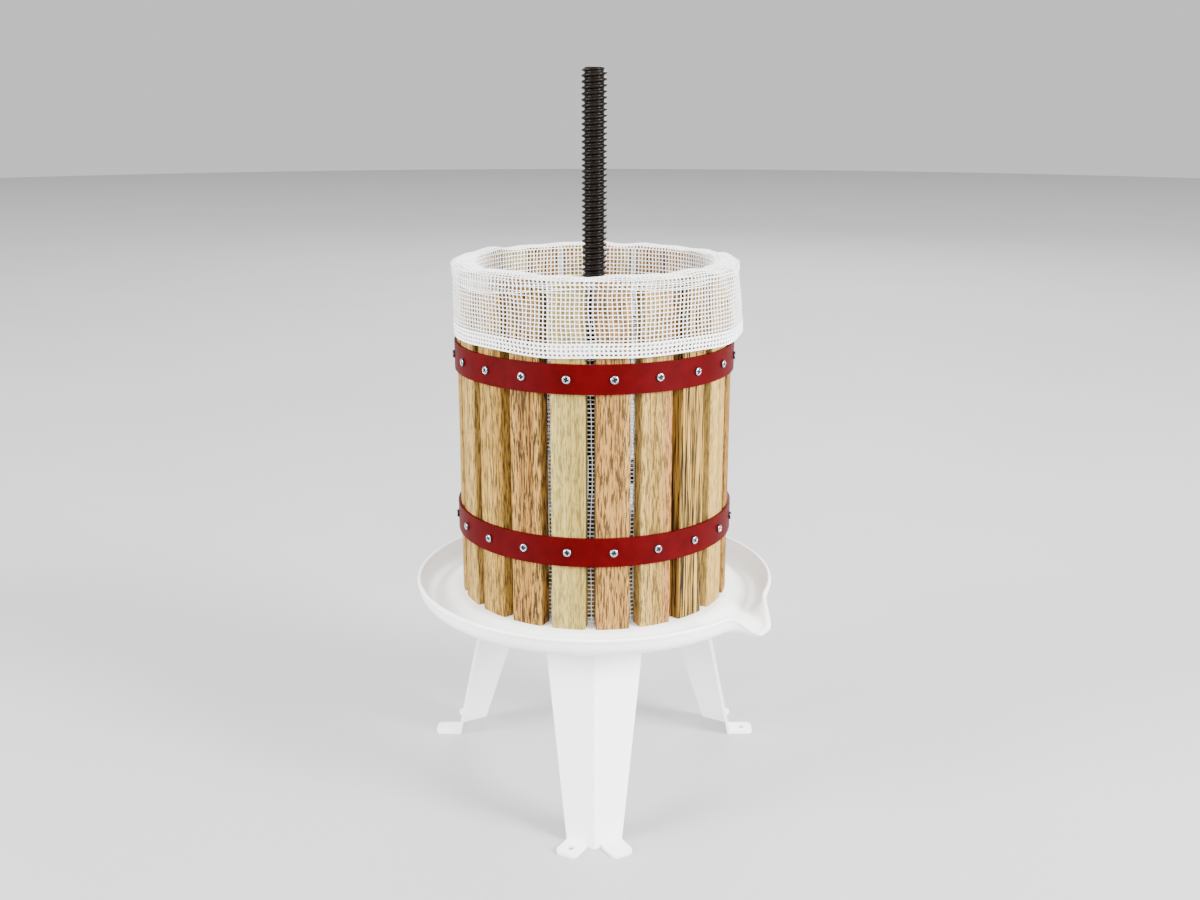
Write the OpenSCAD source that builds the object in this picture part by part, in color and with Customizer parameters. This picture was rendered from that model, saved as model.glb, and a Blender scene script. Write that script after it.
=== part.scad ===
// Basket fruit press with a slatted oak basket, two steel hoops, a spouted tray on three legs,
// a fixed trapezoidal spindle and a net press bag. The press nut, its arms and the two-part
// wooden pressing plate are drawn wound down to the bottom of the basket.
// Millimetres, +Z up, origin on the floor under the spindle.

/* [Basket] */
// Number of staves
stave_count = 20; // [12:1:28]
// Turn of the first stave from the front, to the right
stave_turn = 7.5; // [0:0.5:18]
// Stave width
stave_w = 28.6; // [20:0.1:34]
// Stave thickness
stave_t = 15; // [10:0.5:22]
// Stave length
stave_len = 299.5; // [200:0.5:400]
// Rounding of the stave edges
stave_round = 1.2; // [0.4:0.1:3]
// Outer radius of the hoops
hoop_r = 125; // [90:0.5:160]
// Hoop strip thickness
hoop_t = 2.5; // [1.5:0.1:4]
// Hoop strip width
hoop_w = 25; // [15:0.5:40]
// Underside of the lower hoop above the basket's foot
hoop_low = 58; // [20:0.5:100]
// Underside of the upper hoop above the basket's foot
hoop_high = 206.5; // [150:0.5:260]

/* [Hoop screws] */
// Screw head radius
screw_head_r = 3.5; // [2.5:0.1:5]
// Screw head height
screw_head_h = 2.2; // [1:0.1:4]
// Screw shank radius
screw_r = 1.75; // [1:0.05:3]
// Screw length under the head
screw_len = 14; // [8:0.5:18]
// Depth of the cross recess, also in the batten screws
recess_d = 1.3; // [0.6:0.1:2]
// Width of the recess's arms, also in the batten screws
recess_w = 0.9; // [0.5:0.1:1.5]
// Length of the recess across the head, also in the batten screws
recess_len = 3.8; // [2:0.1:4.5]

/* [Tray] */
// Height of the raised middle that the basket stands on
floor_z = 188.5; // [120:0.5:260]
// Radius of the raised middle
floor_r = 130; // [128:0.5:150]
// Depth of the gutter below the raised middle
gutter_d = 9; // [4:0.5:15]
// Height of the rim above the raised middle
rim_h = 9.5; // [4:0.5:30]
// Rim radius
rim_r = 165; // [150:0.5:200]
// Sheet thickness
sheet = 2.2; // [1:0.1:4]
// Radius of the rolled rim bead
bead_r = 2; // [1.4:0.1:4]
// Width of the slope from the raised middle into the gutter
slope_w = 8; // [4:0.5:12]
// Drop of that slope
slope_d = 5.4; // [2:0.1:8]
// Distance of the wall's foot inside the rim
wall_foot = 11; // [8:0.5:14]
// Height of the wall's foot above the gutter
wall_foot_h = 1.5; // [0.5:0.1:4]
// Distance of the wall's bend inside the rim
wall_bend = 5; // [4:0.5:8]
// Depth of the wall's bend below the raised middle
wall_bend_d = 2; // [0:0.1:4]
// Distance of the wall's top inside the rim
wall_top = 3; // [2.5:0.1:4]

/* [Spout] */
// Direction of the spout
spout_dir = -33; // [-60:1:0]
// Width at the tray
spout_w = 66; // [40:1:80]
// Width at the lip
spout_lip_w = 22; // [12:1:40]
// Reach of the lip from the spindle
spout_reach = 180; // [172:0.5:200]
// Drop of the lip below the rim
spout_drop = 19; // [8:0.5:30]
// Height of the sides at the lip
spout_side = 4; // [2:0.5:8]
// Distance inside the rim where the sides start
spout_start = 8; // [4:0.5:12]
// Fall of the spout's floor, in mm per mm
spout_fall = 0.1; // [0:0.01:0.3]

/* [Legs] */
// Sheet thickness of the legs
leg_t = 3; // [2:0.1:5]
// Radius of the leg ridge at the floor
leg_r = 160; // [120:0.5:200]
// Inward lean of the leg over its height, in mm per mm
leg_lean = 0.24; // [0:0.01:0.4]
// Side width at the floor
leg_w = 27; // [20:0.5:40]
// Side width at the top
leg_top_w = 52; // [30:0.5:60]
// Reach of the foot tabs from the side's face
tab_out = 22; // [15:0.5:40]
// Width of the foot tabs
tab_w = 20; // [14:0.5:30]
// Radius of the hole for fastening each foot, in one of its two tabs
tab_hole_r = 3.5; // [2:0.1:5]
// Corner radius of the foot tabs
tab_round = 5; // [2:0.5:7]

/* [Base plate] */
// Thickness
plate_t = 5; // [3:0.5:10]
// Radius
plate_r = 122; // [80:1:124]
// Leg bolt radius
bolt_r = 4; // [2.5:0.5:6]
// Leg bolt head, radius over the corners
bolt_head_r = 7.5; // [6:0.1:10]
// Leg bolt head height
bolt_head_h = 5.5; // [3:0.1:8]
// Leg bolt distance from the leg's middle line
bolt_side = 17; // [10:0.5:25]
// Leg bolt distance inside the top of the leg ridge
bolt_inset = 31; // [24:0.5:40]

/* [Spindle] */
// Thread outer radius
thread_r = 11; // [8:0.5:15]
// Thread depth
thread_d = 2.5; // [1.5:0.1:4]
// Thread pitch
thread_p = 5; // [3:0.5:8]
// Top of the spindle
spindle_top = 652.5; // [500:0.5:800]
// Collar radius
collar_r = 22; // [16:0.5:30]
// Collar height
collar_h = 4; // [2:0.5:10]
// Plain end above the thread
thread_end = 3; // [2:0.5:8]
// Chamfer of the spindle's ends
spindle_edge = 1; // [0.5:0.1:2]
// Radius of the shank through the tray and the base plate
shank_r = 10; // [7:0.5:12]
// Length of the shank below the lock nut
shank_out = 10.3; // [2:0.1:20]
// Lock nut height
lock_h = 16; // [8:0.5:24]
// Lock nut width across its flats
lock_flats = 30; // [24:1:36]
// Lock washer thickness
lock_washer_h = 3; // [1.5:0.5:5]
// Lock washer radius
lock_washer_r = 19; // [16:0.5:26]

/* [Press] */
// Radius of the pressing plate
press_r = 99; // [70:1:102]
// Thickness of the pressing plate
press_t = 18; // [12:0.5:30]
// Cross batten length
batten_len = 140; // [100:1:160]
// Cross batten width
batten_w = 28; // [20:1:40]
// Cross batten height
batten_h = 20; // [10:1:30]
// Batten screw radius
batten_screw_r = 2.25; // [1.5:0.05:3]
// Batten screw head radius
batten_head_r = 4.75; // [3:0.05:6]
// Batten screw length
batten_screw_len = 31; // [24:0.5:36]
// Distance of the inner batten screws from the middle
batten_near = 26; // [15:0.5:35]
// Distance of the outer batten screws from the middle
batten_far = 59; // [40:0.5:64]
// Radius of the thrust washer
washer_r = 34; // [30:0.5:40]
// Thickness of the thrust washer
washer_h = 5; // [3:0.5:10]
// Radius of the nut's hub
hub_r = 27; // [22:0.5:32]
// Height of the nut
hub_h = 60; // [40:1:80]
// Step from the thrust washer's edge to the nut's flange
flange_step = 2; // [0:0.5:5]
// Height of the nut's flange
flange_h = 8; // [4:0.5:12]
// Height of the slope from the flange to the hub
flange_slope = 8; // [4:0.5:12]
// Chamfer of the hub's top
hub_edge = 3; // [1:0.5:5]
// Arm radius
arm_r = 7; // [5:0.5:9]
// Reach of the arms from the spindle
arm_reach = 94; // [60:1:97]
// Height of the arms above the pressing plate's washer
arm_z = 38; // [30:1:60]
// Web between the spindle bore and the arms
arm_web = 4; // [3:0.5:8]
// Radius of the set screws
set_r = 3; // [2:0.5:4]
// Distance of the set screws from the spindle
set_x = 21; // [18:0.5:23]
// Depth of the set screws below the hub's top
set_sunk = 2; // [0.5:0.5:6]
// Radius of the set screws' hexagon socket over its corners
set_hex_r = 1.7; // [1:0.1:2.4]
// Depth of the set screws' socket
set_hex_d = 3; // [1:0.5:5]
// Grip radius
grip_r = 10.5; // [8:0.5:14]
// Grip length
grip_len = 48; // [30:1:60]
// Chamfer of the grip's ends
grip_edge = 1.5; // [0.5:0.1:3]
// Length of the grip's thick ends
grip_end = 6; // [4:0.5:10]
// Depth of the grip's waist
grip_waist = 1.5; // [0.5:0.1:2.5]
// Closed end of the grip beyond the arm
grip_cap = 4; // [2:0.5:8]

/* [Bag] */
// Thickness of the folded net
bag_t = 1.2; // [0.6:0.1:3]
// Length of the skirt outside the staves
bag_skirt = 63; // [20:1:68]

/* [Fits] */
// Gap of fasteners in their holes
fit_screw = 0.1; // [0.05:0.05:0.4]
// Gap between the tray and the foot of the basket
fit_stand = 0.05; // [0.02:0.01:0.2]
// Gap between the staves and the hoops
fit_hoop = 0.1; // [0.05:0.05:0.4]
// Gap of the nut on the thread and of other running fits
fit_run = 0.4; // [0.2:0.05:0.8]
// Gap of the bag from what it covers
fit_bag = 0.5; // [0.3:0.1:1]
// Gap between the two halves of the pressing plate
fit_split = 0.6; // [0.3:0.1:2]

/* [Hidden] */
$fn = 64;
// Small step that keeps joined forms from sharing a face
skin = 0.4;
// Overshoot of forms that are cut off or cut through
spare = 5;
rim_z = floor_z + rim_h;
basket_z = floor_z + fit_stand;
basket_top = basket_z + stave_len - fit_stand;
stave_out = hoop_r - hoop_t - fit_hoop;
stave_in = stave_out - stave_t;
stave_sag = stave_out - sqrt(pow(stave_out, 2) - pow(stave_w / 2, 2));
stave_step = 360 / stave_count;
upper_z = floor_z + hoop_high;
lower_z = floor_z + hoop_low;
gutter_r = (floor_r + rim_r) / 2;
spout_back = rim_r - spout_start;
spout_low = floor_z - gutter_d - spout_drop;
spout_high = rim_z + spout_drop;
wall_w = 1.1 * sheet;
plate_z = floor_z - sheet - plate_t;
flange_z = plate_z - leg_t;
leg_tilt = atan(leg_lean * sin(60));
leg_ridge = leg_r - leg_lean * flange_z;
bolt_ring = leg_ridge - bolt_inset;
collar_top = floor_z + collar_h;
core_r = thread_r - thread_d;
shank_z = plate_z - lock_washer_h - lock_h - shank_out;
press_top = collar_top + press_t;
washer_top = press_top + washer_h;
batten_y = washer_r + 10 * fit_run + batten_w / 2;
hub_top = washer_top + hub_h;
bore_r = thread_r + fit_run;
arm_in = bore_r + arm_web;
arm_height = washer_top + arm_z;
bag_in = stave_in - fit_bag - bag_t;
bag_out = stave_out + 0.5;
bag_top = basket_top + fit_bag;
leg_dirs = [-90, 30, 150];

// Name of a stave by its number
function stave_name(i) = str("stave_", i < 10 ? "0" : "", i);

// Direction of a stave, seen from above
function stave_dir(i) = -90 + stave_turn + (i - 1) * stave_step;

// Section line of the tray's sheet up to the wall, lowered by the given amount
function tray_line(top) = [
    [0, floor_z - top],
    [floor_r, floor_z - top],
    [floor_r + slope_w, floor_z - slope_d - top],
    [gutter_r, floor_z - gutter_d - top],
    [rim_r - wall_foot, floor_z - gutter_d + wall_foot_h - top * 0.7]];

// Whole section of the tray, with the bead of the rolled rim
function tray_section() = concat(
    tray_line(0),
    [[rim_r - wall_bend, floor_z - wall_bend_d], [rim_r - wall_top, rim_z - 2.5 * bead_r]],
    [for (i = [0:12])
        [rim_r - bead_r + bead_r * cos(210 - 20 * i), rim_z - bead_r + bead_r * sin(210 - 20 * i)]],
    [[rim_r - wall_top + wall_w, rim_z - 2.5 * bead_r],
     [rim_r - wall_bend + wall_w, floor_z - wall_bend_d - sheet / 2]],
    [for (i = [4:-1:0]) tray_line(sheet)[i]]);

// Half width of the spout at a distance from the spindle
function spout_half(x) =
    spout_lip_w / 2 + (spout_reach - x) * (spout_w - spout_lip_w) / 2 / (spout_reach - spout_back);

// Height of the spout's floor at a distance from the spindle
function spout_floor(x) = floor_z - gutter_d - (x - gutter_r) * spout_fall;

// A tapered block between two distances, standing on the spout's floor moved by low
module spout_block(x1, x2, inset, low, z1, z2) {
    rotate([0, 0, spout_dir])
        intersection() {
            translate([0, 0, spout_low])
                linear_extrude(spout_high - spout_low)
                    polygon([
                        [x1, -spout_half(x1) + inset], [x2, -spout_half(x2) + inset],
                        [x2, spout_half(x2) - inset], [x1, spout_half(x1) - inset]]);
            rotate([90, 0, 0])
                translate([0, 0, -spout_w])
                    linear_extrude(2 * spout_w)
                        polygon([
                            [x1, spout_floor(x1) + low], [x2, spout_floor(x2) + low],
                            [x2, z2], [x1, z1]]);
        }
}

module tray() {
    color("white")
        difference() {
            union() {
                rotate_extrude($fn = 128)
                    polygon(tray_section());
                spout_block(spout_back, spout_reach, 0, -sheet, rim_z - bead_r / 2,
                    rim_z - spout_drop + spout_side);
                spout_block(gutter_r, spout_reach, skin, -sheet, spout_floor(gutter_r) - skin / 2,
                    spout_floor(spout_reach) + sheet / 2);
            }
            spout_block(gutter_r + sheet / 2, spout_reach + spare, sheet, skin, spout_high, spout_high);
            translate([0, 0, floor_z - sheet - spare])
                cylinder(r = shank_r + fit_screw, h = sheet + 2 * spare);
        }
}

module base_plate() {
    color("silver")
        difference() {
            translate([0, 0, plate_z])
                cylinder(r = plate_r, h = plate_t, $fn = 128);
            translate([0, 0, plate_z - 1])
                cylinder(r = shank_r + fit_screw, h = plate_t + 2);
            for (a = leg_dirs, s = [-1, 1])
                rotate([0, 0, a])
                    translate([bolt_ring, s * bolt_side, plate_z - 1])
                        cylinder(r = bolt_r + fit_screw, h = plate_t + 2);
        }
}

// One side of a leg: a leaning plate from the foot to the flange, ridge on the X axis
module leg_side() {
    rise = (flange_z + leg_t + spare) / cos(leg_tilt);
    shift = leg_lean / 2 * (flange_z + leg_t + spare);
    translate([leg_r, 0, 0])
        rotate([0, 0, 120])
            rotate([90 - leg_tilt, 0, 0])
                translate([0, 0, -leg_t])
                    linear_extrude(leg_t)
                        polygon([
                            [-spare, -spare], [leg_w - shift / rise * spare, -spare],
                            [leg_top_w + shift, rise], [shift - spare, rise]]);
}

// Foot tab of one leg side, with rounded outer corners
module leg_tab() {
    translate([leg_r, 0, 0])
        rotate([0, 0, 120])
            translate([leg_w - tab_w, -tab_out, -1])
                linear_extrude(leg_t + 1)
                    union() {
                        translate([0, tab_round])
                            square([tab_w, tab_out - tab_round + leg_t]);
                        translate([tab_round, 0])
                            square([tab_w - 2 * tab_round, tab_round + 1]);
                        for (x = [tab_round, tab_w - tab_round])
                            translate([x, tab_round])
                                circle(r = tab_round, $fn = 32);
                    }
}

// Half of a leg: a side, its foot tab and half of the flange under the base plate
module leg_half() {
    difference() {
        intersection() {
            union() {
                leg_side();
                leg_tab();
                translate([0, 0, flange_z])
                    linear_extrude(leg_t + 1)
                        polygon([
                            [leg_ridge - leg_t * 0.6, -2],
                            [leg_ridge - leg_t * 0.6, 0],
                            [leg_ridge - leg_top_w / 2, leg_top_w * 0.8],
                            [leg_ridge - leg_top_w, leg_top_w * 0.46],
                            [leg_ridge - leg_top_w, -2]]);
            }
            cube([2 * leg_r, 2 * leg_top_w, flange_z + leg_t]);
        }
        translate([bolt_ring, bolt_side, flange_z - 1])
            cylinder(r = bolt_r + fit_screw, h = leg_t + 2);
    }
}

module leg(a) {
    color("white")
        rotate([0, 0, a])
            difference() {
                union() {
                    leg_half();
                    mirror([0, 1, 0])
                        leg_half();
                }
                translate([leg_r, 0, 0])
                    rotate([0, 0, -120])
                        translate([leg_w - tab_w / 2, tab_out / 2, -1])
                            cylinder(r = tab_hole_r, h = leg_t + 2, $fn = 32);
            }
}

module leg_front() {
    leg(leg_dirs[0]);
}

module leg_right() {
    leg(leg_dirs[1]);
}

module leg_left() {
    leg(leg_dirs[2]);
}

module leg_bolts() {
    color("gainsboro")
        for (a = leg_dirs, s = [-1, 1])
            rotate([0, 0, a])
                translate([bolt_ring, s * bolt_side, 0])
                    union() {
                        translate([0, 0, flange_z - bolt_head_h])
                            linear_extrude(bolt_head_h)
                                circle(r = bolt_head_r, $fn = 6);
                        translate([0, 0, flange_z - skin])
                            cylinder(r = bolt_r, h = leg_t + plate_t + skin / 2);
                    }
}

module spindle() {
    turns = floor((spindle_top - thread_end - collar_top) / thread_p) - 1;
    start = spindle_top - thread_end - turns * thread_p;
    color("dimgray")
        rotate_extrude($fn = 64)
            polygon(concat(
                [[0, shank_z], [shank_r - spindle_edge, shank_z], [shank_r, shank_z + spindle_edge],
                 [shank_r, floor_z], [collar_r, floor_z], [collar_r, collar_top],
                 [core_r, collar_top]],
                [for (i = [0:turns - 1], p = [[0.1, 0], [0.38, 1], [0.62, 1], [0.9, 0]])
                    [core_r + p[1] * thread_d, start + (i + p[0]) * thread_p]],
                [[core_r, spindle_top - thread_end],
                 [thread_r - spindle_edge, spindle_top - thread_end],
                 [thread_r - spindle_edge, spindle_top - spindle_edge],
                 [thread_r - 2 * spindle_edge, spindle_top],
                 [0, spindle_top]]));
}

module spindle_washer() {
    color("gainsboro")
        translate([0, 0, plate_z - lock_washer_h])
            difference() {
                cylinder(r = lock_washer_r, h = lock_washer_h);
                translate([0, 0, -1])
                    cylinder(r = shank_r + fit_screw, h = lock_washer_h + 2);
            }
}

module spindle_lock_nut() {
    color("gainsboro")
        translate([0, 0, plate_z - lock_washer_h - lock_h])
            difference() {
                linear_extrude(lock_h)
                    circle(r = lock_flats / sqrt(3), $fn = 6);
                translate([0, 0, -1])
                    cylinder(r = shank_r + fit_screw, h = lock_h + 2);
            }
}

// Plan of a stave, outer side towards +X, with rounded edges and a face curved to the hoop
module stave_plan() {
    r = stave_round;
    half = stave_w / 2;
    intersection() {
        circle(r = stave_out, $fn = 128);
        union() {
            translate([stave_in, r - half])
                square([stave_t + spare, stave_w - 2 * r]);
            translate([stave_in + r, -half])
                square([stave_t - 2 * r - stave_sag, stave_w]);
            for (s = [-1, 1]) {
                translate([stave_in + r, s * (half - r)])
                    circle(r = r, $fn = 24);
                translate([stave_out - r - stave_sag, s * (half - r)])
                    circle(r = r, $fn = 24);
            }
        }
    }
}

module stave(i) {
    color("burlywood")
        rotate([0, 0, stave_dir(i)])
            difference() {
                translate([0, 0, basket_z])
                    linear_extrude(basket_top - basket_z)
                        stave_plan();
                for (z = [lower_z, upper_z])
                    translate([hoop_r - screw_len, 0, z + hoop_w / 2])
                        rotate([0, 90, 0])
                            translate([0, 0, -skin])
                                cylinder(r = screw_r + fit_screw, h = screw_len + spare, $fn = 24);
            }
}

module hoop(z) {
    color("darkred")
        difference() {
            translate([0, 0, z])
                cylinder(r = hoop_r, h = hoop_w, $fn = 128);
            translate([0, 0, z - 1])
                cylinder(r = hoop_r - hoop_t, h = hoop_w + 2, $fn = 128);
            for (i = [1:stave_count])
                rotate([0, 0, stave_dir(i)])
                    translate([hoop_r - 2 * hoop_t, 0, z + hoop_w / 2])
                        rotate([0, 90, 0])
                            cylinder(r = screw_r + fit_screw, h = 3 * hoop_t, $fn = 24);
        }
}

module hoop_lower() {
    hoop(lower_z);
}

module hoop_upper() {
    hoop(upper_z);
}

// One cross-recess screw along +X, underside of the head at x = 0
module hoop_screw() {
    difference() {
        rotate([0, 90, 0])
            union() {
                translate([0, 0, -screw_len])
                    cylinder(r = screw_r, h = screw_len + skin, $fn = 24);
                cylinder(r = screw_head_r, h = screw_head_h * 0.5, $fn = 32);
                translate([0, 0, screw_head_h * 0.5])
                    cylinder(r1 = screw_head_r, r2 = screw_head_r * 0.62, h = screw_head_h * 0.5, $fn = 32);
            }
        for (t = [0, 90])
            rotate([45 + t, 0, 0])
                translate([screw_head_h - recess_d, -recess_len / 2, -recess_w / 2])
                    cube([2 * recess_d, recess_len, recess_w]);
    }
}

module hoop_screws(z) {
    color("silver")
        for (i = [1:stave_count])
            rotate([0, 0, stave_dir(i)])
                translate([hoop_r, 0, z + hoop_w / 2])
                    hoop_screw();
}

module hoop_lower_screws() {
    hoop_screws(lower_z);
}

module hoop_upper_screws() {
    hoop_screws(upper_z);
}

// Net bag: a floor round the collar, a wall inside the staves, a fold and a skirt outside
module press_bag() {
    color("whitesmoke")
        rotate_extrude($fn = 128)
            polygon([
                [collar_r + 2, floor_z],
                [bag_in + bag_t, floor_z],
                [bag_in + bag_t, bag_top],
                [bag_out, bag_top],
                [bag_out, basket_top - bag_skirt],
                [bag_out + bag_t, basket_top - bag_skirt],
                [bag_out + bag_t, bag_top + bag_t * 0.5],
                [bag_out, bag_top + bag_t],
                [bag_in + bag_t, bag_top + bag_t],
                [bag_in, bag_top + bag_t * 0.5],
                [bag_in, floor_z + bag_t],
                [collar_r + 2, floor_z + bag_t]]);
}

// Half of the pressing plate, on the side s of the split
module press_plate(s) {
    color("peru")
        difference() {
            intersection() {
                translate([0, 0, collar_top])
                    cylinder(r = press_r, h = press_t, $fn = 128);
                translate([s > 0 ? fit_split / 2 : -press_r - 1, -press_r - 1, collar_top - 1])
                    cube([press_r + 1 - (s > 0 ? 0 : fit_split / 2), 2 * press_r + 2, press_t + 2]);
            }
            translate([0, 0, collar_top - 1])
                cylinder(r = thread_r + 3 * fit_run, h = press_t + 2);
            batten_screw_holes();
        }
}

module press_plate_left() {
    press_plate(-1);
}

module press_plate_right() {
    press_plate(1);
}

// Places of the screws that hold the battens
module at_batten_screws() {
    for (x = [batten_near, batten_far], sx = [-1, 1], sy = [-1, 1])
        translate([sx * x, sy * batten_y, press_top + batten_h])
            children();
}

// A countersunk batten screw, or its hole with a gap round it
module batten_screw_form(gap, over) {
    head_h = batten_head_r - batten_screw_r;
    translate([0, 0, -batten_screw_len - gap])
        cylinder(r = batten_screw_r + gap, h = batten_screw_len - head_h / 2, $fn = 24);
    translate([0, 0, -head_h])
        cylinder(r1 = batten_screw_r + gap, r2 = batten_head_r + gap, h = head_h + over, $fn = 24);
}

module batten_screw_holes() {
    at_batten_screws()
        batten_screw_form(fit_screw, fit_screw);
}

module batten(s) {
    color("tan")
        difference() {
            translate([-batten_len / 2, s * batten_y - batten_w / 2, press_top])
                cube([batten_len, batten_w, batten_h]);
            batten_screw_holes();
        }
}

module batten_front() {
    batten(-1);
}

module batten_back() {
    batten(1);
}

module batten_screws() {
    color("silver")
        at_batten_screws()
            difference() {
                batten_screw_form(0, 0);
                for (t = [0, 90])
                    rotate([0, 0, t])
                        translate([-recess_len / 2, -recess_w / 2, -recess_d])
                            cube([recess_len, recess_w, 2 * recess_d]);
            }
}

module thrust_washer() {
    color("silver")
        translate([0, 0, press_top])
            difference() {
                cylinder(r = washer_r, h = washer_h);
                translate([0, 0, -1])
                    cylinder(r = bore_r + fit_run, h = washer_h + 2);
            }
}

module press_nut() {
    color("dimgray")
        difference() {
            rotate_extrude($fn = 64)
                polygon([
                    [0, washer_top],
                    [washer_r - flange_step, washer_top],
                    [washer_r - flange_step, washer_top + flange_h],
                    [hub_r, washer_top + flange_h + flange_slope],
                    [hub_r, hub_top - hub_edge],
                    [hub_r - hub_edge, hub_top],
                    [0, hub_top]]);
            translate([0, 0, washer_top - 1])
                cylinder(r = bore_r, h = hub_h + 2);
            for (s = [0, 180])
                rotate([0, 0, s]) {
                    translate([arm_in, 0, arm_height])
                        rotate([0, 90, 0])
                            cylinder(r = arm_r + fit_screw, h = hub_r, $fn = 48);
                    translate([set_x, 0, arm_height])
                        cylinder(r = set_r + fit_screw, h = hub_h, $fn = 24);
                }
        }
}

module arm(a) {
    color("silver")
        rotate([0, 0, a])
            translate([arm_in, 0, arm_height])
                rotate([0, 90, 0])
                    cylinder(r = arm_r, h = arm_reach - arm_in - grip_cap, $fn = 48);
}

module arm_left() {
    arm(180);
}

module arm_right() {
    arm(0);
}

module grip(a) {
    color("black")
        rotate([0, 0, a])
            translate([arm_reach - grip_len, 0, arm_height])
                rotate([0, 90, 0])
                    difference() {
                        rotate_extrude($fn = 48)
                            polygon([
                                [0, 0],
                                [grip_r - grip_edge, 0],
                                [grip_r, grip_edge],
                                [grip_r, grip_end],
                                [grip_r - grip_waist, grip_end + 2 * grip_waist],
                                [grip_r - grip_waist, grip_len - grip_end - 2 * grip_waist],
                                [grip_r, grip_len - grip_end],
                                [grip_r, grip_len - grip_edge],
                                [grip_r - grip_edge, grip_len],
                                [0, grip_len]]);
                        translate([0, 0, -spare])
                            cylinder(r = arm_r + fit_screw, h = grip_len - grip_cap + spare, $fn = 48);
                    }
}

module grip_left() {
    grip(180);
}

module grip_right() {
    grip(0);
}

module arm_set_screws() {
    set_len = hub_top - set_sunk - arm_height - arm_r;
    color("dimgray")
        for (s = [-1, 1])
            translate([s * set_x, 0, arm_height + arm_r])
                difference() {
                    cylinder(r = set_r, h = set_len, $fn = 24);
                    translate([0, 0, set_len - set_hex_d])
                        linear_extrude(set_hex_d + spare)
                            circle(r = set_hex_r, $fn = 6);
                }
}

tray();
base_plate();
leg_front();
leg_right();
leg_left();
leg_bolts();
spindle();
spindle_washer();
spindle_lock_nut();
for (i = [1:stave_count])
    stave(i);
hoop_lower();
hoop_upper();
hoop_lower_screws();
hoop_upper_screws();
press_bag();
press_plate_left();
press_plate_right();
batten_front();
batten_back();
batten_screws();
thrust_washer();
press_nut();
arm_left();
arm_right();
grip_left();
grip_right();
arm_set_screws();
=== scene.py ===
import math
import random

import bpy
import numpy as np
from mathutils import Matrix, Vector


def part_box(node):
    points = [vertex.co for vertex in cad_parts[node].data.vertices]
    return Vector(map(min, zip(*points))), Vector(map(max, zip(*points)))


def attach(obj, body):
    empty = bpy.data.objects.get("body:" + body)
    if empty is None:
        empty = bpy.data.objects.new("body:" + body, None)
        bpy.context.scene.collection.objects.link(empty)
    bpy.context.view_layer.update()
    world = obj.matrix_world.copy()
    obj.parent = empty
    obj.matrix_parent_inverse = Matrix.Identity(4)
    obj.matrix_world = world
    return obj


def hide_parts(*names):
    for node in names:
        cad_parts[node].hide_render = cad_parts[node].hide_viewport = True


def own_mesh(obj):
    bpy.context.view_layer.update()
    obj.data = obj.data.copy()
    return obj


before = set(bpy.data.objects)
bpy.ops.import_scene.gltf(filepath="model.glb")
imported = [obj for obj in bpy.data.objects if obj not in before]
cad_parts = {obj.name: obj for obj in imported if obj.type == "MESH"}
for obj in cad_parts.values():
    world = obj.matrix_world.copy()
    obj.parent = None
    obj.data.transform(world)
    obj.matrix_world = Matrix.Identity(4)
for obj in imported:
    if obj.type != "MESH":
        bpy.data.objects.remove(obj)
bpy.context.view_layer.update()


def height(node, end):
    """Height of a CAD node's foot, end 0, or top, end 1, to a micrometre."""
    return round(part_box(node)[end].z, 6)


# Main sizes in metres, from the frame. TRAY_Z is the top of the tray's raised middle
TRAY_Z = height("press_bag", 0)
RIM_TOP = height("tray", 1)
BASKET_TOP = height("stave_01", 1)
SPINDLE_FOOT = height("spindle", 0)
SPINDLE_TOP = height("spindle", 1)
HOOP_R = round(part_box("hoop_upper")[1].x, 6)

# Number of staves, direction of the first one and step to the next, in degrees
STAVE_COUNT = 20
STAVE_TURN = -82.5
STAVE_STEP = 360 / STAVE_COUNT


def stave_angle(i):
    return math.radians(STAVE_TURN + STAVE_STEP * i)


# Mesh helpers

def mesh_object(name, verts, faces, material, smooth=True):
    mesh = bpy.data.meshes.new(name)
    mesh.from_pydata([tuple(v) for v in verts], [], faces)
    mesh.update()
    if smooth:
        mesh.polygons.foreach_set("use_smooth", [True] * len(mesh.polygons))
    mesh.materials.append(material)
    obj = bpy.data.objects.new(name, mesh)
    bpy.context.scene.collection.objects.link(obj)
    return obj


def grid_faces(rows, cols, first=0):
    """Quads of a grid of rows x cols vertices that is closed round the columns."""
    faces = []
    for i in range(rows - 1):
        for j in range(cols):
            k = (j + 1) % cols
            faces.append((first + i * cols + j, first + i * cols + k,
                          first + (i + 1) * cols + k, first + (i + 1) * cols + j))
    return faces


def polar(r, z, a):
    """A point of a section, at radius r and height z, turned to angle a."""
    return (r * math.cos(a), r * math.sin(a), z)


def smoothstep(a, b, x):
    t = np.clip((x - a) / (b - a), 0.0, 1.0)
    return t * t * (3 - 2 * t)


# Material helpers

def new_material(name):
    m = bpy.data.materials.new(name)
    m.use_nodes = True
    return m, m.node_tree, m.node_tree.nodes["Principled BSDF"]


def add(tree, kind, **values):
    n = tree.nodes.new(kind)
    for key, value in values.items():
        setattr(n, key, value)
    return n


def object_coords(tree):
    return add(tree, "ShaderNodeTexCoord").outputs["Object"]


def mapped(tree, scale, turn, shift):
    """Object coordinates turned about Z and shifted, and the same scaled besides."""
    placed = add(tree, "ShaderNodeMapping")
    placed.inputs["Rotation"].default_value = (0, 0, turn)
    placed.inputs["Location"].default_value = shift
    tree.links.new(object_coords(tree), placed.inputs["Vector"])
    scaled = add(tree, "ShaderNodeMapping")
    scaled.inputs["Scale"].default_value = scale
    tree.links.new(placed.outputs["Vector"], scaled.inputs["Vector"])
    return placed.outputs["Vector"], scaled.outputs["Vector"]


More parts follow.
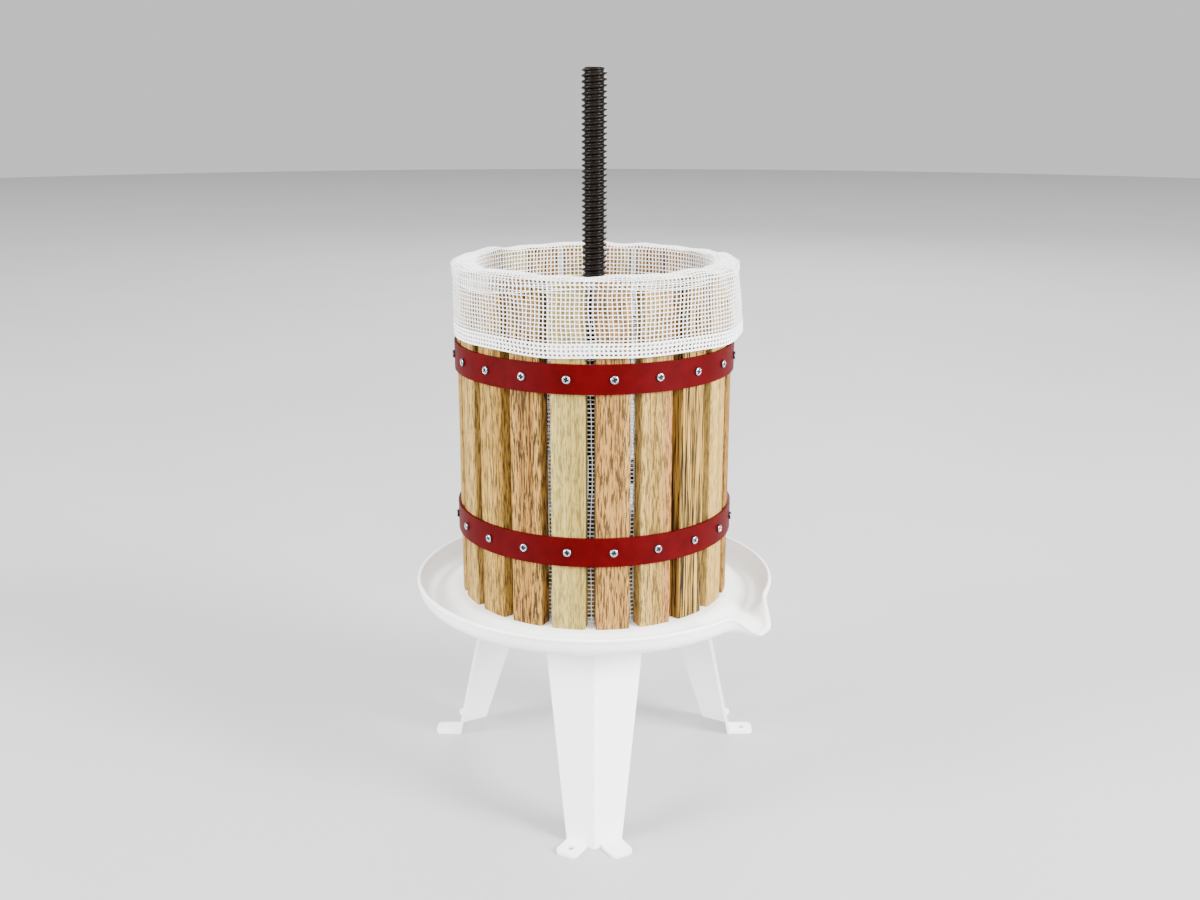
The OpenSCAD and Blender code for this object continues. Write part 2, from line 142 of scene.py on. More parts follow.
def noise(tree, vector, scale, detail=4.0, rough=0.55, warp=0.0):
    n = add(tree, "ShaderNodeTexNoise")
    n.inputs["Scale"].default_value = scale
    n.inputs["Detail"].default_value = detail
    n.inputs["Roughness"].default_value = rough
    n.inputs["Distortion"].default_value = warp
    tree.links.new(vector, n.inputs["Vector"])
    return n.outputs["Fac"]


def ramp(tree, value, stops):
    r = add(tree, "ShaderNodeValToRGB")
    elements = r.color_ramp.elements
    for element, (at, colour) in zip(elements, (stops[0], stops[-1])):
        element.position = at
        element.color = (*colour, 1)
    for at, colour in stops[1:-1]:
        elements.new(at).color = (*colour, 1)
    tree.links.new(value, r.inputs["Fac"])
    return r.outputs["Color"]


def mix(tree, fac, a, b, blend="MIX"):
    n = add(tree, "ShaderNodeMix", data_type="RGBA", blend_type=blend)
    if isinstance(fac, float):
        n.inputs["Factor"].default_value = fac
    else:
        tree.links.new(fac, n.inputs["Factor"])
    tree.links.new(a, n.inputs["A"])
    tree.links.new(b, n.inputs["B"])
    return n.outputs["Result"]


def bump(tree, value, bsdf, strength, distance):
    b = add(tree, "ShaderNodeBump")
    b.inputs["Strength"].default_value = strength
    b.inputs["Distance"].default_value = distance
    tree.links.new(value, b.inputs["Height"])
    tree.links.new(b.outputs["Normal"], bsdf.inputs["Normal"])


def spotted(tree, bsdf, spots, stops):
    """Gives the shader spots of the stops' colours, and returns the noise that they come from."""
    pattern = noise(tree, object_coords(tree), spots)
    tree.links.new(ramp(tree, pattern, stops), bsdf.inputs["Base Color"])
    return pattern


def coated(name, colour, other, rough, spots, bumps=0.02, specular=0.5):
    """Paint, rubber or yarn: a colour that drifts a little to another, with a fine orange peel."""
    m, tree, bsdf = new_material(name)
    spotted(tree, bsdf, spots, [(0.35, colour), (0.7, other)])
    bsdf.inputs["Roughness"].default_value = rough
    bsdf.inputs["Specular IOR Level"].default_value = specular
    peel = noise(tree, object_coords(tree), scale=900.0, detail=2.0)
    bump(tree, peel, bsdf, strength=bumps, distance=0.001)
    return m


def metal(name, colour, other, rough, spots=300.0, metallic=1.0, bumps=0.03, specular=0.5):
    """Plated, blackened or cast metal, uneven in tone and in gloss."""
    m, tree, bsdf = new_material(name)
    pattern = spotted(tree, bsdf, spots, [(0.3, colour), (0.7, other)])
    gloss = ramp(tree, pattern, [(0.2, (rough * 0.8,) * 3), (0.8, (rough * 1.25,) * 3)])
    tree.links.new(gloss, bsdf.inputs["Roughness"])
    bsdf.inputs["Metallic"].default_value = metallic
    bsdf.inputs["Specular IOR Level"].default_value = specular
    bump(tree, pattern, bsdf, strength=bumps, distance=0.0005)
    return m


# Wood: shift of the pattern from board to board, scale of the broad grain and of the dark dashes along the
# board, and how much of the dashes' scale their closeness takes away
BOARD_SHIFT = (0.713, 0.391, 0.173)
GRAIN_SCALE = 0.02
DASH_SCALE = 0.12
DASH_LOSS = 2.6
# Heartwood: its colour, how far its edge wanders and half the width over which it blends
HEART = (0.34, 0.155, 0.045)
HEART_WANDER = 0.012
HEART_BLEND = 0.0015


def heartwood(tree, colour, placed, grain, start):
    """A board's colour with a band of heartwood from start on, across the board."""
    axes = add(tree, "ShaderNodeSeparateXYZ")
    tree.links.new(placed, axes.inputs["Vector"])
    edge = add(tree, "ShaderNodeMath", operation="MULTIPLY_ADD")
    tree.links.new(grain, edge.inputs[0])
    edge.inputs[1].default_value = HEART_WANDER
    tree.links.new(axes.outputs["Y"], edge.inputs[2])
    share = add(tree, "ShaderNodeMapRange", interpolation_type="SMOOTHSTEP")
    tree.links.new(edge.outputs["Value"], share.inputs["Value"])
    share.inputs["From Min"].default_value = start + HEART_WANDER / 2 - HEART_BLEND
    share.inputs["From Max"].default_value = start + HEART_WANDER / 2 + HEART_BLEND
    tint = add(tree, "ShaderNodeRGB")
    tint.outputs["Color"].default_value = (*HEART, 1)
    return mix(tree, share.outputs["Result"], colour, tint.outputs["Color"])


def wood(name, tones, number, lines, turn=0.0, across=(1, 1, 0), dense=0.0, heart=None):
    """Sawn wood. tones are its light, middle and dark colours, and number sets its pattern off from the
    other boards'. lines is the depth of its dark dashes, and dense how close they are. The grain runs along
    the axis whose entry in across is 0. heart is how far off the middle a band of heartwood starts."""
    m, tree, bsdf = new_material(name)
    shift = tuple(number * s for s in BOARD_SHIFT)
    light, middle, dark = tones

    def stretched(along):
        return mapped(tree, tuple(1.0 if c else along for c in across), -turn, shift)

    placed, slow = stretched(GRAIN_SCALE)
    _, quick = stretched(DASH_SCALE - DASH_LOSS * dense)
    grain = noise(tree, slow, scale=120.0, detail=4.0, rough=0.6, warp=0.4)
    colour = ramp(tree, grain, [(0.34, dark), (0.5, middle), (0.66, light)])
    if heart is not None:
        colour = heartwood(tree, colour, placed, grain, shift[1] + heart)
    dashes = noise(tree, quick, scale=860.0, detail=3.0, rough=0.62, warp=0.15)
    shade = ramp(tree, dashes, [(0.43 + dense, (1 - lines,) * 3), (0.52 + dense, (1, 1, 1))])
    colour = mix(tree, 1.0, colour, shade, "MULTIPLY")
    tree.links.new(colour, bsdf.inputs["Base Color"])
    bsdf.inputs["Roughness"].default_value = 0.7
    bsdf.inputs["Specular IOR Level"].default_value = 0.15
    bump(tree, dashes, bsdf, strength=0.4, distance=0.0006)
    return m


# Materials

white_coat = coated("white_coat", (0.90, 0.90, 0.89), (0.94, 0.94, 0.93), 0.35, 40.0)
red_paint = coated("red_paint", (0.046, 0.0, 0.0006), (0.062, 0.0003, 0.0012), 0.45, 70.0,
                   bumps=0.03, specular=0.04)
zinc = metal("zinc", (0.34, 0.36, 0.40), (0.50, 0.52, 0.56), 0.24)
# Near black, painted on the screw heads' recesses and edges: painted shade and a painted dark reflection,
# not the zinc's own colour
painted_shade = metal("painted_shade", (0.008, 0.009, 0.012), (0.02, 0.022, 0.026), 0.5,
                    metallic=0.0, specular=0.1)
black_oxide = metal("black_oxide", (0.003, 0.002, 0.0015), (0.008, 0.0055, 0.0045), 0.32,
                    metallic=0.0, specular=0.09)
cast_iron = metal("cast_iron", (0.022, 0.022, 0.023), (0.06, 0.058, 0.056), 0.5,
                  spots=420.0, metallic=0.6, bumps=0.5)
grip_black = coated("grip_black", (0.004, 0.004, 0.0045), (0.009, 0.009, 0.009), 0.55, 300.0,
                    bumps=0.15, specular=0.2)
net_white = coated("net_white", (0.86, 0.86, 0.86), (0.95, 0.95, 0.95), 0.6, 160.0, bumps=0.1)

PALE = ((0.42, 0.325, 0.100), (0.355, 0.265, 0.072), (0.275, 0.19, 0.043))
PINK = ((0.425, 0.243, 0.073), (0.34, 0.178, 0.047), (0.245, 0.113, 0.023))
GOLD = ((0.43, 0.26, 0.056), (0.325, 0.18, 0.031), (0.205, 0.10, 0.013))
TAN = ((0.38, 0.207, 0.049), (0.295, 0.146, 0.029), (0.20, 0.088, 0.0135))
SAND = ((0.47, 0.312, 0.092), (0.385, 0.238, 0.060), (0.288, 0.163, 0.033))
# Tones, depth and closeness of the dark dashes and start of the heartwood of each stave,
# from the one right of the front, going round to the right
STAVES = [
    (PINK, 0.8, 0.015, None), (SAND, 0.7, 0.01, 0.006), (GOLD, 0.97, 0.038, None), (SAND, 0.5, 0.0, None),
    (TAN, 0.7, 0.01, None), (GOLD, 0.8, 0.01, None), (SAND, 0.6, 0.01, None), (PINK, 0.75, 0.01, None),
    (TAN, 0.7, 0.01, None), (PALE, 0.6, 0.01, -0.003), (SAND, 0.7, 0.01, None), (TAN, 0.8, 0.01, None),
    (PALE, 0.55, 0.0, None), (GOLD, 0.8, 0.02, None), (PINK, 0.7, 0.01, None), (SAND, 0.7, 0.01, None),
    (SAND, 0.7, 0.015, None), (GOLD, 0.75, 0.015, None), (TAN, 0.88, 0.015, None), (PALE, 0.5, 0.0, None),
]
LEG_EDGE = 0.0007
HOOP_EDGE = 0.0004
BEVEL_ANGLE = math.radians(35)


# CAD nodes that keep their shape

def paint(name, material, edge=0.0):
    """Gives a CAD node a material, and edges rounded to a width if asked."""
    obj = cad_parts[name]
    obj.data.materials.clear()
    obj.data.materials.append(material)
    if edge:
        bevel = obj.modifiers.new("bevel", "BEVEL")
        bevel.width = edge
        bevel.segments = 2
        bevel.limit_method = "ANGLE"
        bevel.angle_limit = BEVEL_ANGLE


for i, (tones, lines, dense, heart) in enumerate(STAVES):
    name = f"stave_{i + 1:02d}"
    paint(name, wood("oak_" + name, tones, i + 1, lines, stave_angle(i), dense=dense, heart=heart))

beech_plate = wood("beech_plate", SAND, 31, 0.3, across=(1, 0, 1))
beech_batten = wood("beech_batten", TAN, 33, 0.35, across=(0, 1, 1))
for name in ("press_plate_left", "press_plate_right"):
    paint(name, beech_plate)
for name in ("batten_front", "batten_back"):
    paint(name, beech_batten)
for name in ("leg_front", "leg_right", "leg_left"):
    paint(name, white_coat, LEG_EDGE)
for name in ("hoop_lower", "hoop_upper"):
    paint(name, red_paint, HOOP_EDGE)
for name in ("base_plate", "leg_bolts", "spindle_washer", "spindle_lock_nut", "batten_screws",
             "thrust_washer", "arm_left", "arm_right"):
    paint(name, zinc)
paint("press_nut", cast_iron)
paint("arm_set_screws", black_oxide)
for name in ("grip_left", "grip_right"):
    paint(name, grip_black)


# Tray: a revolved sheet whose wall is drawn out and down into a pouring lip

TRAY_SIDES = 288
# Points across the middle, and along each curve of the section
MIDDLE_POINTS = 4
CURVE_POINTS = 9
TRAY_HOLE_R = 0.0101
MIDDLE_R = 0.127
GUTTER_R = 0.1475
GUTTER_Z = TRAY_Z - 0.009
SHEET = 0.0022
WALL_ROUND = 0.0144
RIM_R = 0.165
BEAD_R = 0.002
# Directions of the rolled rim's points in its section, in degrees
BEAD_TURNS = range(200, -41, -20)
# Direction of the spout, half its width and the share of that which is drawn out in full
SPOUT_DIR = math.radians(-33)
SPOUT_HALF = math.radians(12.5)
SPOUT_FLAT = 0.18
# Radii between which the pull on the sheet grows to full
SPOUT_START = 0.146
SPOUT_FULL = 0.1635
# How far the lip is drawn out and down, at the gutter and at the rim, and its underside down besides
LIP_OUT = (0.004, 0.015)
LIP_DOWN = (0.003, 0.0225)
LIP_UNDER = 0.0016


def tray_line(depth):
    """Line of the sheet from the spindle hole to the top of the wall, at a depth below its upper face."""
    line = [(r, TRAY_Z - depth) for r in np.linspace(TRAY_HOLE_R, MIDDLE_R, MIDDLE_POINTS)]
    width = GUTTER_R - MIDDLE_R
    rise = GUTTER_Z - TRAY_Z
    for r in np.linspace(MIDDLE_R, GUTTER_R, CURVE_POINTS)[1:]:
        t = (r - MIDDLE_R) / width
        z = TRAY_Z + rise * smoothstep(MIDDLE_R, GUTTER_R, r)
        # Slope of the smoothstep, which says where the sheet's lower face is
        slope = rise * 6 * t * (1 - t) / width
        line.append((r + depth * slope / math.hypot(1, slope), z - depth / math.hypot(1, slope)))
    for a in np.linspace(0, math.pi / 2, CURVE_POINTS)[1:]:
        line.append((GUTTER_R + (WALL_ROUND + depth) * math.sin(a),
                     GUTTER_Z + WALL_ROUND - (WALL_ROUND + depth) * math.cos(a)))
    return line


def tray_bead():
    """Rolled rim, from the inside over the top to the outside."""
    turns = [math.radians(a) for a in BEAD_TURNS]
    return [(RIM_R - BEAD_R + BEAD_R * math.cos(t), RIM_TOP - BEAD_R + BEAD_R * math.sin(t)) for t in turns]


def build_tray():
    upper = tray_line(0) + tray_bead()
    section = upper + tray_line(SHEET)[::-1]
    cols = len(section)
    lowest = GUTTER_Z - SHEET
    verts, faces = [], []
    for k in range(TRAY_SIDES):
        a = 2 * math.pi * k / TRAY_SIDES
        off = (a - SPOUT_DIR + math.pi) % (2 * math.pi) - math.pi
        lip = 1 - smoothstep(SPOUT_FLAT, 1.0, abs(off) / SPOUT_HALF)
        for j, (r, z) in enumerate(section):
            pull = lip * smoothstep(SPOUT_START, SPOUT_FULL, r)
            share = (z - lowest) / (RIM_TOP - lowest)
            under = LIP_UNDER if j >= len(upper) else 0.0
            out = r + pull * np.interp(share, (0, 1), LIP_OUT)
            down = z - pull * (np.interp(share, (0, 1), LIP_DOWN) + under)
            verts.append(polar(out, down, a))
        n = (k + 1) % TRAY_SIDES
        for j in range(cols):
            m = (j + 1) % cols
            faces.append((k * cols + m, n * cols + m, n * cols + j, k * cols + j))
    tray = mesh_object("tray_pan", verts, faces, white_coat)
    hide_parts("tray")
    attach(tray, "stand")


build_tray()


# Spindle: shank, collar and a right-hand thread

SPINDLE_SIDES = 40
# Radius of the small face that closes the middle of the foot
CENTRE_R = 0.0004
SHANK_R = 0.010
SHANK_EDGE = 0.001
COLLAR_R = 0.022
COLLAR_EDGE = 0.0004
COLLAR_TOP = TRAY_Z + 0.004
THREAD_FOOT_R = 0.009
THREAD_ROWS = 1060
PITCH = 0.005
CORE_R = 0.0085
THREAD_D = 0.0025
# Where a flank starts and ends, as shares of half the pitch from the middle of the crest
FLANK = (0.22, 0.80)
# Length over which the thread grows at the collar
RUN_OUT = 0.002
# Chamfer at the top: where it starts and ends below the top, the share of depth lost, and the end face
CHAMFER_START = 0.003
CHAMFER_END = 0.0008
CHAMFER_LOSS = 0.75
END_EDGE = 0.0006
END_R = 0.0078


def thread_share(phase):
    """Share of the thread's depth at a phase of 0 to 1 along the pitch."""
    off_crest = np.abs((phase % 1.0) - 0.5) * 2
    return 1 - smoothstep(*FLANK, off_crest)


def build_spindle():
    low = [(CENTRE_R, SPINDLE_FOOT), (SHANK_R - SHANK_EDGE, SPINDLE_FOOT),
           (SHANK_R, SPINDLE_FOOT + SHANK_EDGE), (SHANK_R, TRAY_Z),
           (COLLAR_R - COLLAR_EDGE, TRAY_Z), (COLLAR_R, TRAY_Z + COLLAR_EDGE),
           (COLLAR_R, COLLAR_TOP - COLLAR_EDGE), (COLLAR_R - COLLAR_EDGE, COLLAR_TOP),
           (THREAD_FOOT_R, COLLAR_TOP)]
    angles = np.arange(SPINDLE_SIDES) * 2 * math.pi / SPINDLE_SIDES
    zs = np.linspace(COLLAR_TOP, SPINDLE_TOP - END_EDGE, THREAD_ROWS)
    grown = smoothstep(COLLAR_TOP, COLLAR_TOP + RUN_OUT, zs)
    kept = 1 - CHAMFER_LOSS * smoothstep(SPINDLE_TOP - CHAMFER_START, SPINDLE_TOP - CHAMFER_END, zs)
    phase = zs[:, None] / PITCH - angles[None, :] / (2 * math.pi)
    r = CORE_R + THREAD_D * thread_share(phase) * (grown * kept)[:, None]
    z = np.repeat(zs[:, None], SPINDLE_SIDES, axis=1)
    thread = np.stack([r * np.cos(angles), r * np.sin(angles), z], -1)
    verts = [polar(*point, a) for point in low for a in angles]
    verts += list(thread.reshape(-1, 3))
    verts += [polar(END_R, SPINDLE_TOP, a) for a in angles]
    faces = grid_faces(len(verts) // SPINDLE_SIDES, SPINDLE_SIDES)
    faces.append(tuple(reversed(range(SPINDLE_SIDES))))
    faces.append(tuple(range(len(verts) - SPINDLE_SIDES, len(verts))))
    spindle = mesh_object("spindle_screw", verts, faces, black_oxide)
    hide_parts("spindle")
    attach(spindle, "stand")


build_spindle()


# Hoop screws: closed pan heads with a cross recess, each turned differently, with painted shade in the
# recess and round the edge

HEAD_RINGS = 14
HEAD_SIDES = 48
HEAD_R = 0.0035
HEAD_TALL = 0.0022
# Height of the edge as a share of the head's, fullness of the dome, and how deep it sits in the hoop
HEAD_EDGE = 0.45
HEAD_FULL = 2.6
HEAD_SUNK = 0.0003
# Half width and reach of the recess at its floor and at its brim, its depth,
# and the share of that depth from which on it is painted near black, as painted shade
RECESS_HALF = (0.0006, 0.0011)
RECESS_REACH = (0.0019, 0.0026)
RECESS_D = 0.0013
RECESS_SHADE_FROM = 0.12
# Rings at the edge that are painted near black too: painted shade and a painted dark reflection round the
# head
SHADED_RINGS = 2


def head_point(x, y, turn):
    """Height of a head over the hoop at a place on its face, and whether it lies deep enough in the recess
    to get painted shade.
    """
    share = min(math.hypot(x, y) / HEAD_R, 1.0)
    dome = HEAD_TALL * (HEAD_EDGE + (1 - HEAD_EDGE) * math.sqrt(1 - share ** HEAD_FULL))
    u = x * math.cos(turn) + y * math.sin(turn)
    v = -x * math.sin(turn) + y * math.cos(turn)
    narrow = 1 - smoothstep(*RECESS_HALF, min(abs(u), abs(v)))
    inside = float(narrow * (1 - smoothstep(*RECESS_REACH, max(abs(u), abs(v)))))
    return dome - RECESS_D * inside, inside > RECESS_SHADE_FROM


def build_screws(name, node):
    rng = random.Random(node)
    z = (height(node, 0) + height(node, 1)) / 2
    # The last ring is the foot, straight below the edge
    radii = [HEAD_R * min(j / HEAD_RINGS, 1.0) for j in range(1, HEAD_RINGS + 2)]
    angles = [2 * math.pi * k / HEAD_SIDES for k in range(HEAD_SIDES)]
    spots = [(0.0, 0.0)] + [(r * math.cos(t), r * math.sin(t)) for r in radii for t in angles]
    verts, faces, dark = [], [], []
    for i in range(STAVE_COUNT):
        a = stave_angle(i)
        turn = rng.uniform(0, math.pi / 2)
        first = len(verts)
        for k, (x, y) in enumerate(spots):
            up, deep = head_point(x, y, turn)
            if k > HEAD_RINGS * HEAD_SIDES:
                up = -HEAD_SUNK
            # Faces deep in the recess and the last rings at the edge take the near-black painted shade
            dark.append(deep or k > (HEAD_RINGS - SHADED_RINGS) * HEAD_SIDES)
            d = HOOP_R + up
            verts.append((d * math.cos(a) - x * math.sin(a), d * math.sin(a) + x * math.cos(a), z + y))
        faces += [(first, first + 1 + k, first + 1 + (k + 1) % HEAD_SIDES) for k in range(HEAD_SIDES)]
        faces += [f[::-1] for f in grid_faces(HEAD_RINGS + 1, HEAD_SIDES, first + 1)]
        faces.append(tuple(reversed(range(len(verts) - HEAD_SIDES, len(verts)))))
    screws = mesh_object(name, verts, faces, zinc)
    # Second material: the painted shade, on faces whose corners all lie in the shaded recess or edge rings
    screws.data.materials.append(painted_shade)
    screws.data.polygons.foreach_set("material_index", [int(all(dark[v] for v in f)) for f in faces])
    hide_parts(node)
    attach(screws, "basket")


build_screws("lower_screw_heads", "hoop_lower_screws")
build_screws("upper_screw_heads", "hoop_upper_screws")


# Press bag: an open net of strands that lines the basket and is turned down over its rim

# Lining: its radius, the gap between two layers of net, its upper and lower end, and how far it sags inwards
LINING_R = 0.1057
LAYER_GAP = 0.0001
BAG_TOP = BASKET_TOP - 0.0015
WALL_FOOT = TRAY_Z + 0.001
WALL_SAG = 0.0006
# Net on the tray: its height and the radius of its hole for the collar
BASE_Z = TRAY_Z + 0.0009
BASE_HOLE_R = COLLAR_R + 0.0025
# Skirt: its radius and belly outside the staves, the share of its length at which the fold starts,
# and the fold's form, from 1 for a bow to 0 for a box
SKIRT_R = 0.1234
SKIRT_BELLY = 0.0008
FOLD_AT = 0.76
FOLD_FORM = 0.45
# Directions in degrees and spreads in radians of the places where the skirt stands off or creases more
RIGHT = (-15, 0.75)
LEFT = (-150, 0.5)
BACK = (95, 0.9)
# How far it stands off there, and how far its right side flares towards the hem
RIGHT_OUT = 0.0012
RIGHT_FLARE = 0.0055
FLARE_POWER = 0.8
BACK_OUT = 0.0012
# Depth of the creases all round, what the right and left add to it, and how far creases and pleats lean
CREASE = 0.0005
CREASE_RIGHT = 0.0008
CREASE_LEFT = 0.0005
CREASE_LEAN = -0.12
PLEAT_LEAN = 0.2
# Height of the hem at the front, half its rise to the back, and its waves
HEM_Z = 0.4250
HEM_TILT = 0.0032
HEM_WAVE = 0.0010
# Crest of the fold above the staves, and its waves
CREST_UP = 0.0019
CREST_WAVE = 0.0011
# Bunched net below the fold: its least depth as a share of the skirt, what is added with the direction and
# spread of each place where it is deeper, and how far it stands out, leans out and stands up
GATHER_LEAST = 0.07
GATHERS = ((0.16, -140, 0.5), (0.05, -60, 0.35), (0.10, 40, 0.6))
GATHER_OUT = 0.0009
GATHER_LEAN = 0.0006
GATHER_UP = 0.0012
# Turned-up hem: its shift round the basket, its start and span along the skirt,
# and how far it is out of the skirt and below it
TURN_UP_SHIFT = 0.014
TURN_UP_START = 0.02
TURN_UP_SPAN = 0.13
TURN_UP_OUT = 0.0008
# Unevenness of the net, as shares of a mesh: slow drift and scatter of the strands
DRIFT = 0.16
SCATTER = 0.035
# Steps in angle and along the surface over which its directions are measured
ANGLE_STEP = 1e-3
SHARE_STEP = 2e-3


def wave(a, terms, seed):
    """A smooth periodic line round the basket, from -1 to 1 or so."""
    rng = random.Random(seed)
    total = np.zeros_like(a)
    for k in terms:
        total = total + math.sqrt(1.0 / len(terms)) * np.sin(k * a + rng.uniform(0, 2 * math.pi))
    return total


def near(a, degrees, spread):
    """1 at a direction round the basket, falling to 0 away from it."""
    off = np.mod(a - math.radians(degrees) + math.pi, 2 * math.pi) - math.pi
    return np.exp(-(off / spread) ** 2)


def skirt_out(a, up):
    """Radius of the skirt outside the staves, up from 0 at the hem to 1 at the rim."""
    right, left, back = near(a, *RIGHT), near(a, *LEFT), near(a, *BACK)
    crease = wave(a + CREASE_LEAN * up, (6, 9, 14), "crease")
    pleat = wave(a + PLEAT_LEAN * up, (21, 29), "pleat") * up
    flare = right * (RIGHT_OUT + RIGHT_FLARE * np.clip(1 - up, 0, 1) ** FLARE_POWER)
    hang = SKIRT_R + SKIRT_BELLY * np.sin(math.pi * up) + flare + BACK_OUT * back
    return hang + (CREASE + CREASE_RIGHT * right + CREASE_LEFT * left) * (1 + (crease + pleat) / 2)


def skirt_hem(a):
    """Height of the skirt's lower edge."""
    return HEM_Z + HEM_TILT * (np.sin(a) + 1) + HEM_WAVE * wave(a, (2, 3, 5, 9), "hem")


def skirt_point(a, s):
    """Radius and height of the skirt at angle a: s from 0 at the hem to 1 where the fold ends inside."""
    up = np.clip(s / FOLD_AT, 0, 1)
    over = np.clip((s - FOLD_AT) / (1 - FOLD_AT), 0, 1)
    turn = over * math.pi
    crest = BASKET_TOP + CREST_UP + CREST_WAVE * wave(a, (5, 8, 13, 19), "crest")
    hem = skirt_hem(a)
    outer = skirt_out(a, up)
    inner = LINING_R + LAYER_GAP
    r_fold = (outer + inner) / 2 + (outer - inner) / 2 * np.cos(turn)
    z_fold = BAG_TOP + (crest - BAG_TOP) * np.sin(turn) ** FOLD_FORM
    r = np.where(over > 0, r_fold, outer)
    z = np.where(over > 0, z_fold, hem + (BAG_TOP - hem) * up)
    return r, z


def gather_point(a, s):
    """A second layer where the net is bunched: s from 0 at its lower edge to 1 at the fold."""
    deep = GATHER_LEAST + sum(depth * near(a, degrees, spread) for depth, degrees, spread in GATHERS)
    r, z = skirt_point(a, FOLD_AT * (1.0 - deep * (1 - s)))
    return r + GATHER_OUT + GATHER_LEAN * s, z + GATHER_UP * s


def hem_point(a, s):
    """The turned-up edge of the skirt, just outside it: s from 0 at the bottom to 1 at its top."""
    r, z = skirt_point(a + TURN_UP_SHIFT, TURN_UP_START + TURN_UP_SPAN * s)
    return r + TURN_UP_OUT, z - TURN_UP_OUT


def wall_point(a, s):
    """The net inside the staves: s from 0 at the rim to 1 at the bottom."""
    sag = WALL_SAG * (1 + wave(a, (5, 8, 13), "wall"))
    return LINING_R - sag * np.sin(math.pi * np.clip(s, 0, 1)), BAG_TOP - (BAG_TOP - WALL_FOOT) * s


def wall_top_point(a, s):
    return wall_point(a, 0.5 * s)


def wall_low_point(a, s):
    return wall_point(a, 0.5 + 0.5 * s)


def base_point(a, s):
    """The net on the tray: s from 0 at the wall to 1 at the collar."""
    edge = LINING_R - LAYER_GAP
    return edge - (edge - BASE_HOLE_R) * s, np.full_like(a, BASE_Z)


# Surface of each piece of net, its strands round the basket and along the surface, a strand's width and
# thickness, the seed, and the first strand's place as a share of a mesh
NETS = {
    "bag_skirt": (skirt_point, 204, 24, 0.00055, 0.00085, 11, 0.0),
    "bag_gather": (gather_point, 204, 3, 0.00055, 0.00085, 16, 0.0),
    "bag_wall_top": (wall_top_point, 178, 41, 0.0006, 0.0008, 12, 0.77),
    "bag_wall_low": (wall_low_point, 178, 41, 0.0006, 0.0008, 13, 0.77),
    "bag_base": (base_point, 112, 22, 0.0008, 0.0006, 14, 0.0),
    "bag_hem": (hem_point, 204, 4, 0.0014, 0.0006, 15, 0.0),
}


def unit(v):
    return v / np.linalg.norm(v, axis=-1, keepdims=True)


def strand_places(around, rows, seed, phase):
    """Angle and share along the surface of each crossing of two strands, a little uneven."""
    rng = np.random.default_rng(seed)
    step = 2 * math.pi / around
    a, s = np.meshgrid((np.arange(around) + phase) * step, np.linspace(0, 1, rows), indexing="ij")
    slow = np.sin(3 * a + 5 * s) + np.sin(7 * a - 9 * s + 1.3)
    uneven = a + step * (DRIFT * slow + SCATTER * rng.standard_normal(a.shape))
    jitter = rng.standard_normal(s.shape) * SCATTER / (rows - 1)
    jitter[:, [0, -1]] = 0
    return uneven, s + jitter


def strand_faces(around, rows):
    """Faces of the strands along the surface, with their ends, and of the closed rings across them."""
    index = np.arange(around * rows * 4).reshape(around, rows, 4)
    beside = np.roll(index, -1, axis=2)
    along = np.stack([index[:, 1:], beside[:, 1:], beside[:, :-1], index[:, :-1]], -1).reshape(-1, 4)
    ends = np.concatenate([index[:, 0], index[:, -1][:, ::-1]])
    ring = index + index.size
    ring_beside = np.roll(ring, -1, axis=2)
    rings = np.stack([ring, ring_beside, np.roll(ring_beside, -1, axis=0), np.roll(ring, -1, axis=0)], -1)
    return np.concatenate([along, rings.reshape(-1, 4), ends]).tolist()


def net(name, point, around, rows, width, thick, seed, phase):
    """Flat strands along and across a surface."""
    a, s = strand_places(around, rows, seed, phase)

    def place(angle, share):
        r, z = point(angle, share)
        return np.stack([r * np.cos(angle), r * np.sin(angle), z], -1)

    middle = place(a, s)
    round_way = unit(place(a + ANGLE_STEP, s) - place(a - ANGLE_STEP, s))
    along = place(a, np.clip(s + SHARE_STEP, 0, 1)) - place(a, np.clip(s - SHARE_STEP, 0, 1))
    normal = unit(np.cross(round_way, along))
    verts = []
    for side in (round_way, np.cross(normal, round_way)):
        corners = [middle + side * (width / 2 * u) + normal * (thick / 2 * v)
                   for u, v in ((-1, -1), (1, -1), (1, 1), (-1, 1))]
        verts.append(np.stack(corners, 2).reshape(-1, 3))
    return mesh_object(name, np.concatenate(verts), strand_faces(around, rows), net_white, False)


def build_bag():
    pieces = {name: net(name, *values) for name, values in NETS.items()}
    for piece in pieces.values():
        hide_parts("press_bag")
        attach(piece, "stand")
        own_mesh(piece)


build_bag()


# Stage, camera and lights

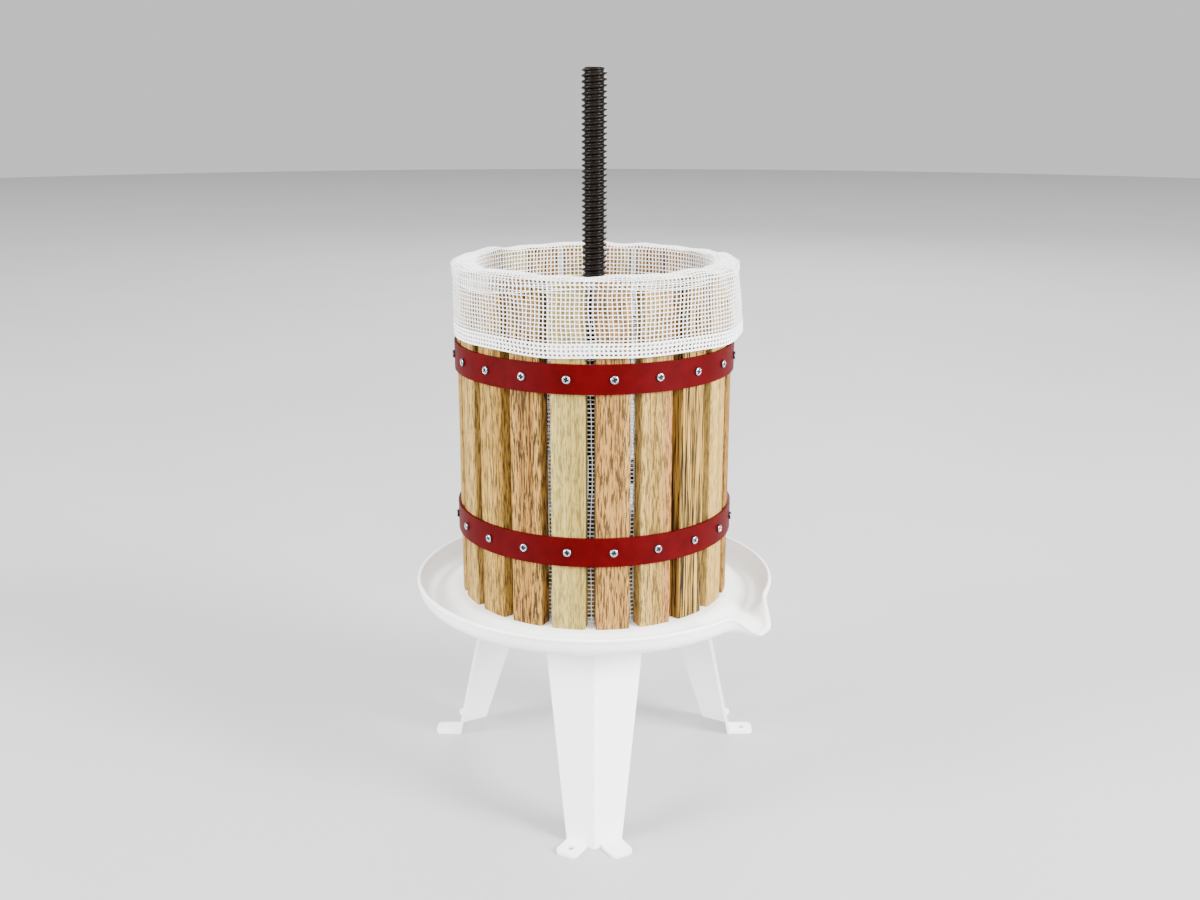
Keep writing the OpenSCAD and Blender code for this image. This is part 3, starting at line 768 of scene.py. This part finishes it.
STAGE_SIDES = 180
STAGE_R = 9.0
STAGE_Z = -0.0002
STAGE_GREYS = ((0.41,) * 3, (0.43,) * 3)
STUDIO_LIGHT = 0.8
SENSOR = 36
LENS = 40.15
LENS_SHIFT = 0.00475
CAMERA_AT = (0, -1.1831, 0.6418)
CAMERA_DIP = 0.27
# Name, place, aim, size and power of each light
LIGHTS = [
    ("right", (2.7, -1.5, 1.58), (0, 0, 0.32), (1.2, 1.8), 450),
    ("left", (-2.8, -1.3, 1.38), (0, 0, 0.32), (1.2, 1.8), 275),
    ("front", (0.2, -3.8, 2.75), (0, 0, 0.25), (2.0, 1.4), 120),
    ("back", (0.6, 3.8, 2.3), (0, 0, 0.3), (2.0, 1.4), 96),
    ("top", (0, 0, 4.0), (0, 0, 0), (14, 14), 760),
]


def build_stage():
    m, tree, bsdf = new_material("floor_white")
    spotted(tree, bsdf, 3.0, [(0.3, STAGE_GREYS[0]), (0.7, STAGE_GREYS[1])])
    bsdf.inputs["Roughness"].default_value = 0.6
    edge = [polar(STAGE_R, STAGE_Z, 2 * math.pi * k / STAGE_SIDES) for k in range(STAGE_SIDES)]
    floor = mesh_object("floor", edge, [tuple(range(STAGE_SIDES))], m, False)


def build_camera():
    data = bpy.data.cameras.new("camera")
    data.sensor_width = SENSOR
    data.lens = LENS
    data.shift_x = LENS_SHIFT
    data.dof.use_dof = False
    camera = bpy.data.objects.new("camera", data)
    bpy.context.scene.collection.objects.link(camera)
    camera.location = CAMERA_AT
    camera.rotation_euler = (math.pi / 2 - CAMERA_DIP, 0, 0)
    bpy.context.scene.camera = camera


def area_light(name, at, aim, size, power):
    data = bpy.data.lights.new(name, "AREA")
    data.shape = "RECTANGLE"
    data.size, data.size_y = size
    data.energy = power
    lamp = bpy.data.objects.new(name, data)
    bpy.context.scene.collection.objects.link(lamp)
    lamp.location = at
    way = Vector(aim) - Vector(at)
    lamp.rotation_euler = way.to_track_quat("-Z", "Y").to_euler()


def build_world():
    world = bpy.data.worlds.new("studio")
    bpy.context.scene.world = world
    world.use_nodes = True
    background = world.node_tree.nodes["Background"]
    background.inputs["Color"].default_value = (1, 1, 1, 1)
    background.inputs["Strength"].default_value = STUDIO_LIGHT


build_stage()
build_camera()
for light in LIGHTS:
    area_light(*light)
build_world()
